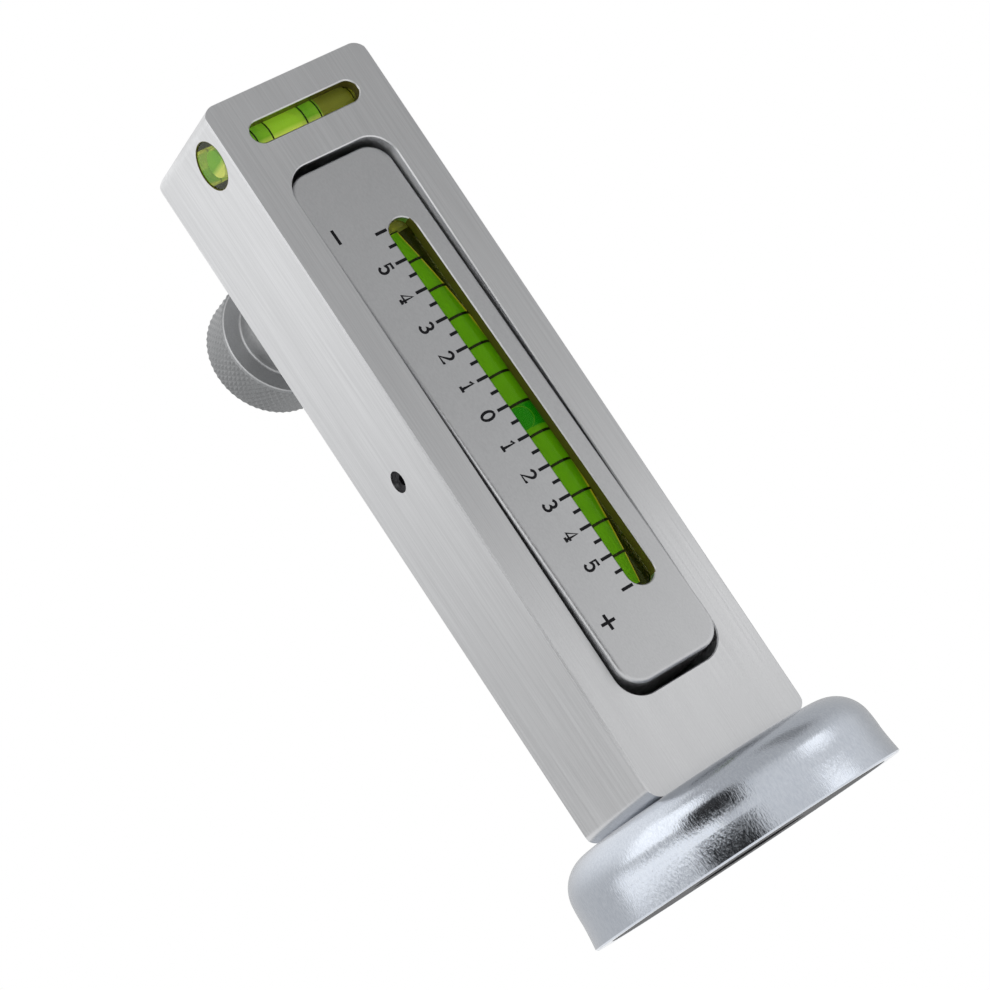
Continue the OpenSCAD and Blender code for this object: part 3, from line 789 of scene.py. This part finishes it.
# ---- Camber vial ----
# A clear acrylic tube with a yellow tint, filled with green fluid that leaves a bubble.
# Black rings round its chamber repeat the marks beside the slot. The fluid wets the
# acrylic, so the chamber's wall itself doesn't show.
acrylic_colour = (0.86, 0.86, 0.42, 1)
acrylic_ior = 1.49
acrylic_shine = (0.4, 0.5, 0.12, 1)
chamber_radius = 0.0032
wall_middle = 0.00375
camber_vial_half = 0.041
camber_barrel = degree_pitch / math.tan(math.radians(1))
camber_bubble_down = 0.0024
camber_bubble_half = 0.0023
camber_ring_width = 0.0005
ring_proud = 0.00003
vial_skin = 0.0006


def vial_acrylic(name, at, direction, half_length):
    """Tinted clear tube: its outside shows, and its wetted chamber wall doesn't."""
    made, tree, out = new_material(name)
    add = tree.nodes.new
    link = tree.links.new
    shader = add("ShaderNodeBsdfPrincipled")
    shader.inputs["Transmission Weight"].default_value = 1
    shader.inputs["IOR"].default_value = acrylic_ior
    shader.inputs["Specular Tint"].default_value = acrylic_shine
    where = add("ShaderNodeTexCoord")
    cloud = add("ShaderNodeTexNoise")
    cloud.inputs["Scale"].default_value = 300
    paint = add("ShaderNodeMix")
    paint.data_type = "RGBA"
    paint.inputs["A"].default_value = tuple(c * 0.92 for c in acrylic_colour[:3]) + (1,)
    paint.inputs["B"].default_value = acrylic_colour
    gloss = add("ShaderNodeMapRange")
    gloss.inputs["To Min"].default_value = 0.02
    gloss.inputs["To Max"].default_value = 0.05
    axis = add("ShaderNodeGroup")
    axis.node_tree = round_axis
    axis.inputs["Middle"].default_value = at
    axis.inputs["Direction"].default_value = direction
    outside = maths(tree, "GREATER_THAN", axis.outputs["Out"], wall_middle)
    end = maths(tree, "GREATER_THAN", maths(tree, "ABSOLUTE", axis.outputs["Along"]),
                half_length - vial_skin)
    link(where.outputs["Object"], cloud.inputs["Vector"])
    link(cloud.outputs["Fac"], paint.inputs["Factor"])
    link(paint.outputs["Result"], shader.inputs["Base Color"])
    link(cloud.outputs["Fac"], gloss.inputs["Value"])
    link(gloss.outputs[0], shader.inputs["Roughness"])
    link(maths(tree, "MAXIMUM", outside, end), shader.inputs["Alpha"])
    link(shader.outputs[0], out.inputs["Surface"])
    return made


def vial_filling(name, colour, deep, glow, alpha, rim=None, low=None, gap=None):
    """Coloured fluid or bubble, with a faint cloud in it and a glow of its own colour.

    The rim is a painted highlight, the colour of the light gathered at its edge; low is a
    painted glint, that light at its underside; and gap is the colour painted on the fluid over
    the bubble, with the bubble's middle, direction and half. The glow is painted light: on the
    fluid it adds to the dye's own fluorescence, on bubbles and plugs it is painted light only.
    """
    made, tree, out = new_material(name)
    add = tree.nodes.new
    link = tree.links.new
    shader = add("ShaderNodeBsdfPrincipled")
    shader.inputs["Roughness"].default_value = 0.35
    shader.inputs["Specular IOR Level"].default_value = 0.1
    shader.inputs["Alpha"].default_value = alpha
    # Painted light: the emission makes each fluid, bubble and plug glow in its own colour.
    shader.inputs["Emission Strength"].default_value = glow
    where = add("ShaderNodeTexCoord")
    cloud = add("ShaderNodeTexNoise")
    cloud.inputs["Scale"].default_value = 220
    cloud.inputs["Detail"].default_value = 1
    paint = add("ShaderNodeMix")
    paint.data_type = "RGBA"
    paint.inputs["A"].default_value = deep
    paint.inputs["B"].default_value = colour
    link(where.outputs["Object"], cloud.inputs["Vector"])
    link(cloud.outputs["Fac"], paint.inputs["Factor"])
    result = paint.outputs["Result"]
    # The bubble's look is painted on the fluid over it: a painted shade in one vial, a painted
    # light in the other.
    if gap:
        axis = add("ShaderNodeGroup")
        axis.node_tree = round_axis
        axis.inputs["Middle"].default_value = gap[1]
        axis.inputs["Direction"].default_value = gap[2]
        over = add("ShaderNodeMapRange")
        over.interpolation_type = "SMOOTHSTEP"
        over.inputs["From Min"].default_value = gap[3] + 0.0003
        over.inputs["From Max"].default_value = gap[3] - 0.0001
        film = add("ShaderNodeMix")
        film.data_type = "RGBA"
        film.inputs["B"].default_value = gap[0]
        link(maths(tree, "ABSOLUTE", axis.outputs["Along"]), over.inputs["Value"])
        link(over.outputs[0], film.inputs["Factor"])
        link(result, film.inputs["A"])
        result = film.outputs["Result"]
    # Painted glint: the colour turns to the low colour towards the fluid's underside.
    if low:
        split = add("ShaderNodeSeparateXYZ")
        reach = add("ShaderNodeMapRange")
        reach.inputs["From Min"].default_value = low[1]
        reach.inputs["From Max"].default_value = low[2]
        bottom = add("ShaderNodeMix")
        bottom.data_type = "RGBA"
        bottom.inputs["B"].default_value = low[0]
        link(where.outputs["Object"], split.inputs[0])
        link(split.outputs[2], reach.inputs["Value"])
        link(reach.outputs[0], bottom.inputs["Factor"])
        link(result, bottom.inputs["A"])
        result = bottom.outputs["Result"]
    # Painted highlight: the colour turns to the rim colour where the surface turns edge-on.
    if rim:
        facing = add("ShaderNodeLayerWeight")
        edge = add("ShaderNodeMapRange")
        edge.inputs["From Min"].default_value = 0.62
        edge.inputs["From Max"].default_value = 0.82
        bright = add("ShaderNodeMix")
        bright.data_type = "RGBA"
        bright.inputs["B"].default_value = rim
        link(facing.outputs["Facing"], edge.inputs["Value"])
        link(edge.outputs[0], bright.inputs["Factor"])
        link(result, bright.inputs["A"])
        result = bright.outputs["Result"]
    link(result, shader.inputs["Base Color"])
    link(result, shader.inputs["Emission Color"])
    link(shader.outputs[0], out.inputs["Surface"])
    return made


dress("camber_vial_tube", vial_acrylic("camber_acrylic", plate_place @ camber_vial, plate_up,
                                       camber_vial_half))
# The camber fluid glows with painted light beside its dye's fluorescence, has a painted yellow
# highlight along its edge, and is painted a dark green shade over the bubble.
dress("camber_vial_fluid", vial_filling(
    "camber_fluid", (0.16, 0.48, 0.004, 1), (0.12, 0.40, 0.003, 1), 0.27, 0.7,
    rim=(0.95, 0.8, 0.06, 1),
    gap=((0.004, 0.27, 0.004, 1),
         plate_place @ (camber_vial - Vector((0, 0, camber_bubble_down))),
         plate_up, camber_bubble_half)))
# The bubble is painted a dark green shade and glows with painted light.
dress("camber_bubble", vial_filling("camber_bubble", (0.01, 0.26, 0.004, 1),
                                    (0.005, 0.18, 0.002, 1), 0.2, 1.0))
# The plugs are clear acrylic painted a dark olive shade, and glow with painted light.
vial_plug = vial_filling("vial_plug", (0.34, 0.36, 0.07, 1), (0.24, 0.26, 0.05, 1), 0.15, 1.0)
dress("camber_vial_plug", vial_plug)
dress("vial_retainer", plate_metal)


def chamber_ring(at, turn, off_middle, barrel, width):
    """A thin black band round a vial's chamber; turn is about Y, from a vial along Z."""
    bpy.ops.object.select_all(action="DESELECT")
    radius = chamber_radius - off_middle ** 2 / (2 * barrel) + ring_proud
    bpy.ops.mesh.primitive_cylinder_add(vertices=64, radius=radius, depth=width,
                                        end_fill_type="NOTHING", location=at,
                                        rotation=(0, turn, 0))
    ring = bpy.context.object
    wall = ring.modifiers.new("wall", "SOLIDIFY")
    wall.thickness = ring_proud
    wall.offset = 1
    bpy.ops.object.modifier_apply(modifier=wall.name)
    return ring


rings = []
for degree in range(-last_degree, last_degree + 1):
    off = degree * degree_pitch
    rings.append(chamber_ring(camber_vial + Vector((0, 0, off)), 0, off, camber_barrel,
                              camber_ring_width))
camber_rings = join(rings)
camber_rings.matrix_world = plate_place @ camber_rings.matrix_world
finish_piece(camber_rings, "camber_vial_rings", ink, "plate")


# ---- Cross vial ----
# A short vial of the same kind in a bore across the block's top, with four rings. Its
# closed end shows in the block's left side.
cross_half = (cross_high.x - cross_low.x) / 2
cross_barrel = 0.12
cross_bubble_half = 0.0034
cross_ring_width = 0.0003
cross_ring_places = (-0.0094, -0.0064, 0.001, 0.0041)
dress("cross_vial_tube", vial_acrylic("cross_acrylic", cross_middle, (1, 0, 0), cross_half))
# Painted glint: the cross fluid turns yellow-white towards its underside, where light through the
# tube would gather. It also has a pale painted highlight along its edge, glows with painted light
# beside its dye's fluorescence, and is painted lighter over the bubble.
painted_glint = (cross_middle.z - 0.0003, cross_middle.z - 0.0013)
dress("cross_vial_fluid", vial_filling(
    "cross_fluid", (0.24, 0.52, 0.05, 1), (0.14, 0.42, 0.03, 1), 0.35, 0.7,
    rim=(0.6, 0.62, 0.1, 1), low=((0.85, 0.88, 0.3, 1),) + painted_glint,
    gap=((0.36, 0.62, 0.06, 1), cross_middle, (1, 0, 0), cross_bubble_half)))
# The bubble is painted a light yellow-green and glows with painted light.
dress("cross_bubble", vial_filling("cross_bubble", (0.42, 0.66, 0.05, 1),
                                   (0.3, 0.56, 0.03, 1), 0.4, 1.0))
# The cross vial's plug too is clear acrylic with the painted olive shade and painted glow.
dress("cross_vial_plug", vial_plug)
rings = []
for ring_x in cross_ring_places:
    at = Vector((ring_x, cross_middle.y, cross_middle.z))
    rings.append(chamber_ring(at, math.pi / 2, ring_x - cross_middle.x, cross_barrel,
                              cross_ring_width))
cross_rings = join(rings)
finish_piece(cross_rings, "cross_vial_rings", ink, "stand")


# ---- Knob ----
# Turned from steel: a smooth boss towards the block and a head with a diamond knurl,
# which is rolled into its rim between two chamfers.
turning = (("Pitch", 0.0003), ("Stretch", 1.0))
knob_metal = metal("turned_steel", (0.5, 0.505, 0.51, 1), (0.4, 0.405, 0.41, 1), (0.34, 0.44),
                   brushing, scratch_depth, turning)
knurl_metal = metal("knurled_steel", (0.32, 0.325, 0.33, 1), (0.21, 0.215, 0.22, 1),
                    (0.36, 0.48), brushing, scratch_depth, turning)
dress("adjuster_knob", knob_metal)

knob_z = screw_at.z
knob_near = 0.033
knob_far = 0.0422
knurl_chamfer = 0.0005
knurl_crest = 0.0123
knurl_root = 0.01214
knurl_foot = 0.012
knurl_sunk = 0.0116
knurl_columns = 120
knurl_rows = 8

knurl_length = knob_far - knob_near - 2 * knurl_chamfer
knurl_pitch = knurl_length / knurl_rows
knurl_start = knob_near + knurl_chamfer
knurl_end = knob_far - knurl_chamfer
head_middle = Vector((0, (knob_near + knob_far) / 2, knob_z))


def pick(piece, wanted):
    """Selects the points of a piece that pass a test, and goes on in edit mode."""
    bpy.ops.object.mode_set(mode="EDIT")
    bpy.ops.mesh.select_mode(type="VERT")
    bpy.ops.mesh.select_all(action="DESELECT")
    bpy.ops.object.mode_set(mode="OBJECT")
    for point in piece.data.vertices:
        point.select = wanted(point.co)
    bpy.ops.object.mode_set(mode="EDIT")


def shrink(factor):
    """Scales what is selected towards the knob's axis."""
    bpy.ops.transform.resize(value=(factor, 1, factor), center_override=head_middle)


bpy.ops.object.select_all(action="DESELECT")
bpy.ops.mesh.primitive_cylinder_add(
    vertices=knurl_columns, radius=knurl_crest, depth=knurl_length, end_fill_type="NOTHING",
    location=head_middle, rotation=(math.pi / 2, 0, 0))
knurl = bpy.context.object
bpy.ops.object.transform_apply(location=True, rotation=True, scale=True)
bpy.ops.object.mode_set(mode="EDIT")
for row in range(1, knurl_rows):
    bpy.ops.mesh.select_all(action="SELECT")
    bpy.ops.mesh.bisect(plane_co=(0, knurl_start + row * knurl_pitch, 0), plane_no=(0, 1, 0))
for end, step in ((knurl_start, -1), (knurl_end, 1)):
    pick(knurl, lambda co: abs(co.y - end) < 1e-5)
    bpy.ops.mesh.extrude_edges_move(
        TRANSFORM_OT_translate={"value": (0, step * (knurl_crest - knurl_foot), 0)})
    shrink(knurl_foot / knurl_crest)
    bpy.ops.mesh.extrude_edges_move()
    shrink(knurl_sunk / knurl_foot)
pick(knurl, lambda co: math.hypot(co.x, co.z - knob_z) < (knurl_sunk + knurl_foot) / 2)
bpy.ops.mesh.bridge_edge_loops()


def in_a_root(co):
    """Every other crossing of the columns and rows lies in a groove."""
    column = round(math.atan2(co.z - knob_z, co.x) / (2 * math.pi) * knurl_columns)
    row = round((co.y - knurl_start) / knurl_pitch)
    outside = math.hypot(co.x, co.z - knob_z) > knurl_crest - 0.00005
    return outside and (column + row) % 2 == 1


pick(knurl, in_a_root)
shrink(knurl_root / knurl_crest)
pick(knurl, lambda co: math.hypot(co.x, co.z - knob_z) > knurl_root - 0.00001)
bpy.ops.mesh.quads_convert_to_tris(quad_method="SHORTEST_DIAGONAL")
bpy.ops.mesh.select_all(action="SELECT")
bpy.ops.mesh.normals_make_consistent(inside=False)
bpy.ops.object.mode_set(mode="OBJECT")
finish_piece(knurl, "knob_knurl", knurl_metal, "knob", 12)


# ---- Adjusting screw, thrust pad and return spring ----
# A steel shank that turns in the back wall, a brass button on its tip, and a spring of
# bright wire behind the plate's lower end.
bright_steel = plain("bright_steel", (0.55, 0.55, 0.56, 1), 0.3, 1.0)
dress("adjuster_screw", bright_steel)
dress("thrust_pad", plain("turned_brass", (0.72, 0.53, 0.22, 1), 0.32, 1.0))

coil_low, coil_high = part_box("return_spring")
wire_radius = 0.00035
coil_turns = 6
coil_steps = 32 * coil_turns
coil_radius = coil_high.x - wire_radius
coil_length = coil_high.y - coil_low.y - 2 * wire_radius
coil_foot = Vector((0, coil_low.y + wire_radius, (coil_low.z + coil_high.z) / 2))

bpy.ops.object.select_all(action="DESELECT")
bpy.ops.mesh.primitive_circle_add(vertices=10, radius=wire_radius,
                                  location=(coil_radius, 0, 0), rotation=(math.pi / 2, 0, 0))
coil = bpy.context.object
bpy.ops.object.transform_apply(location=True, rotation=True, scale=True)
wind = coil.modifiers.new("wind", "SCREW")
wind.angle = 2 * math.pi * coil_turns
wind.screw_offset = coil_length
wind.steps = coil_steps
wind.render_steps = coil_steps
bpy.ops.object.modifier_apply(modifier=wind.name)
bpy.ops.object.mode_set(mode="EDIT")
bpy.ops.mesh.select_all(action="SELECT")
bpy.ops.mesh.fill_holes(sides=0)
bpy.ops.mesh.select_all(action="SELECT")
bpy.ops.mesh.normals_make_consistent(inside=False)
bpy.ops.object.mode_set(mode="OBJECT")
coil.location = coil_foot
coil.rotation_euler = (-math.pi / 2, 0, 0)
finish_piece(coil, "return_spring_coil", bright_steel, "stand", 40)
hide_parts("return_spring")
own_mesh(coil)
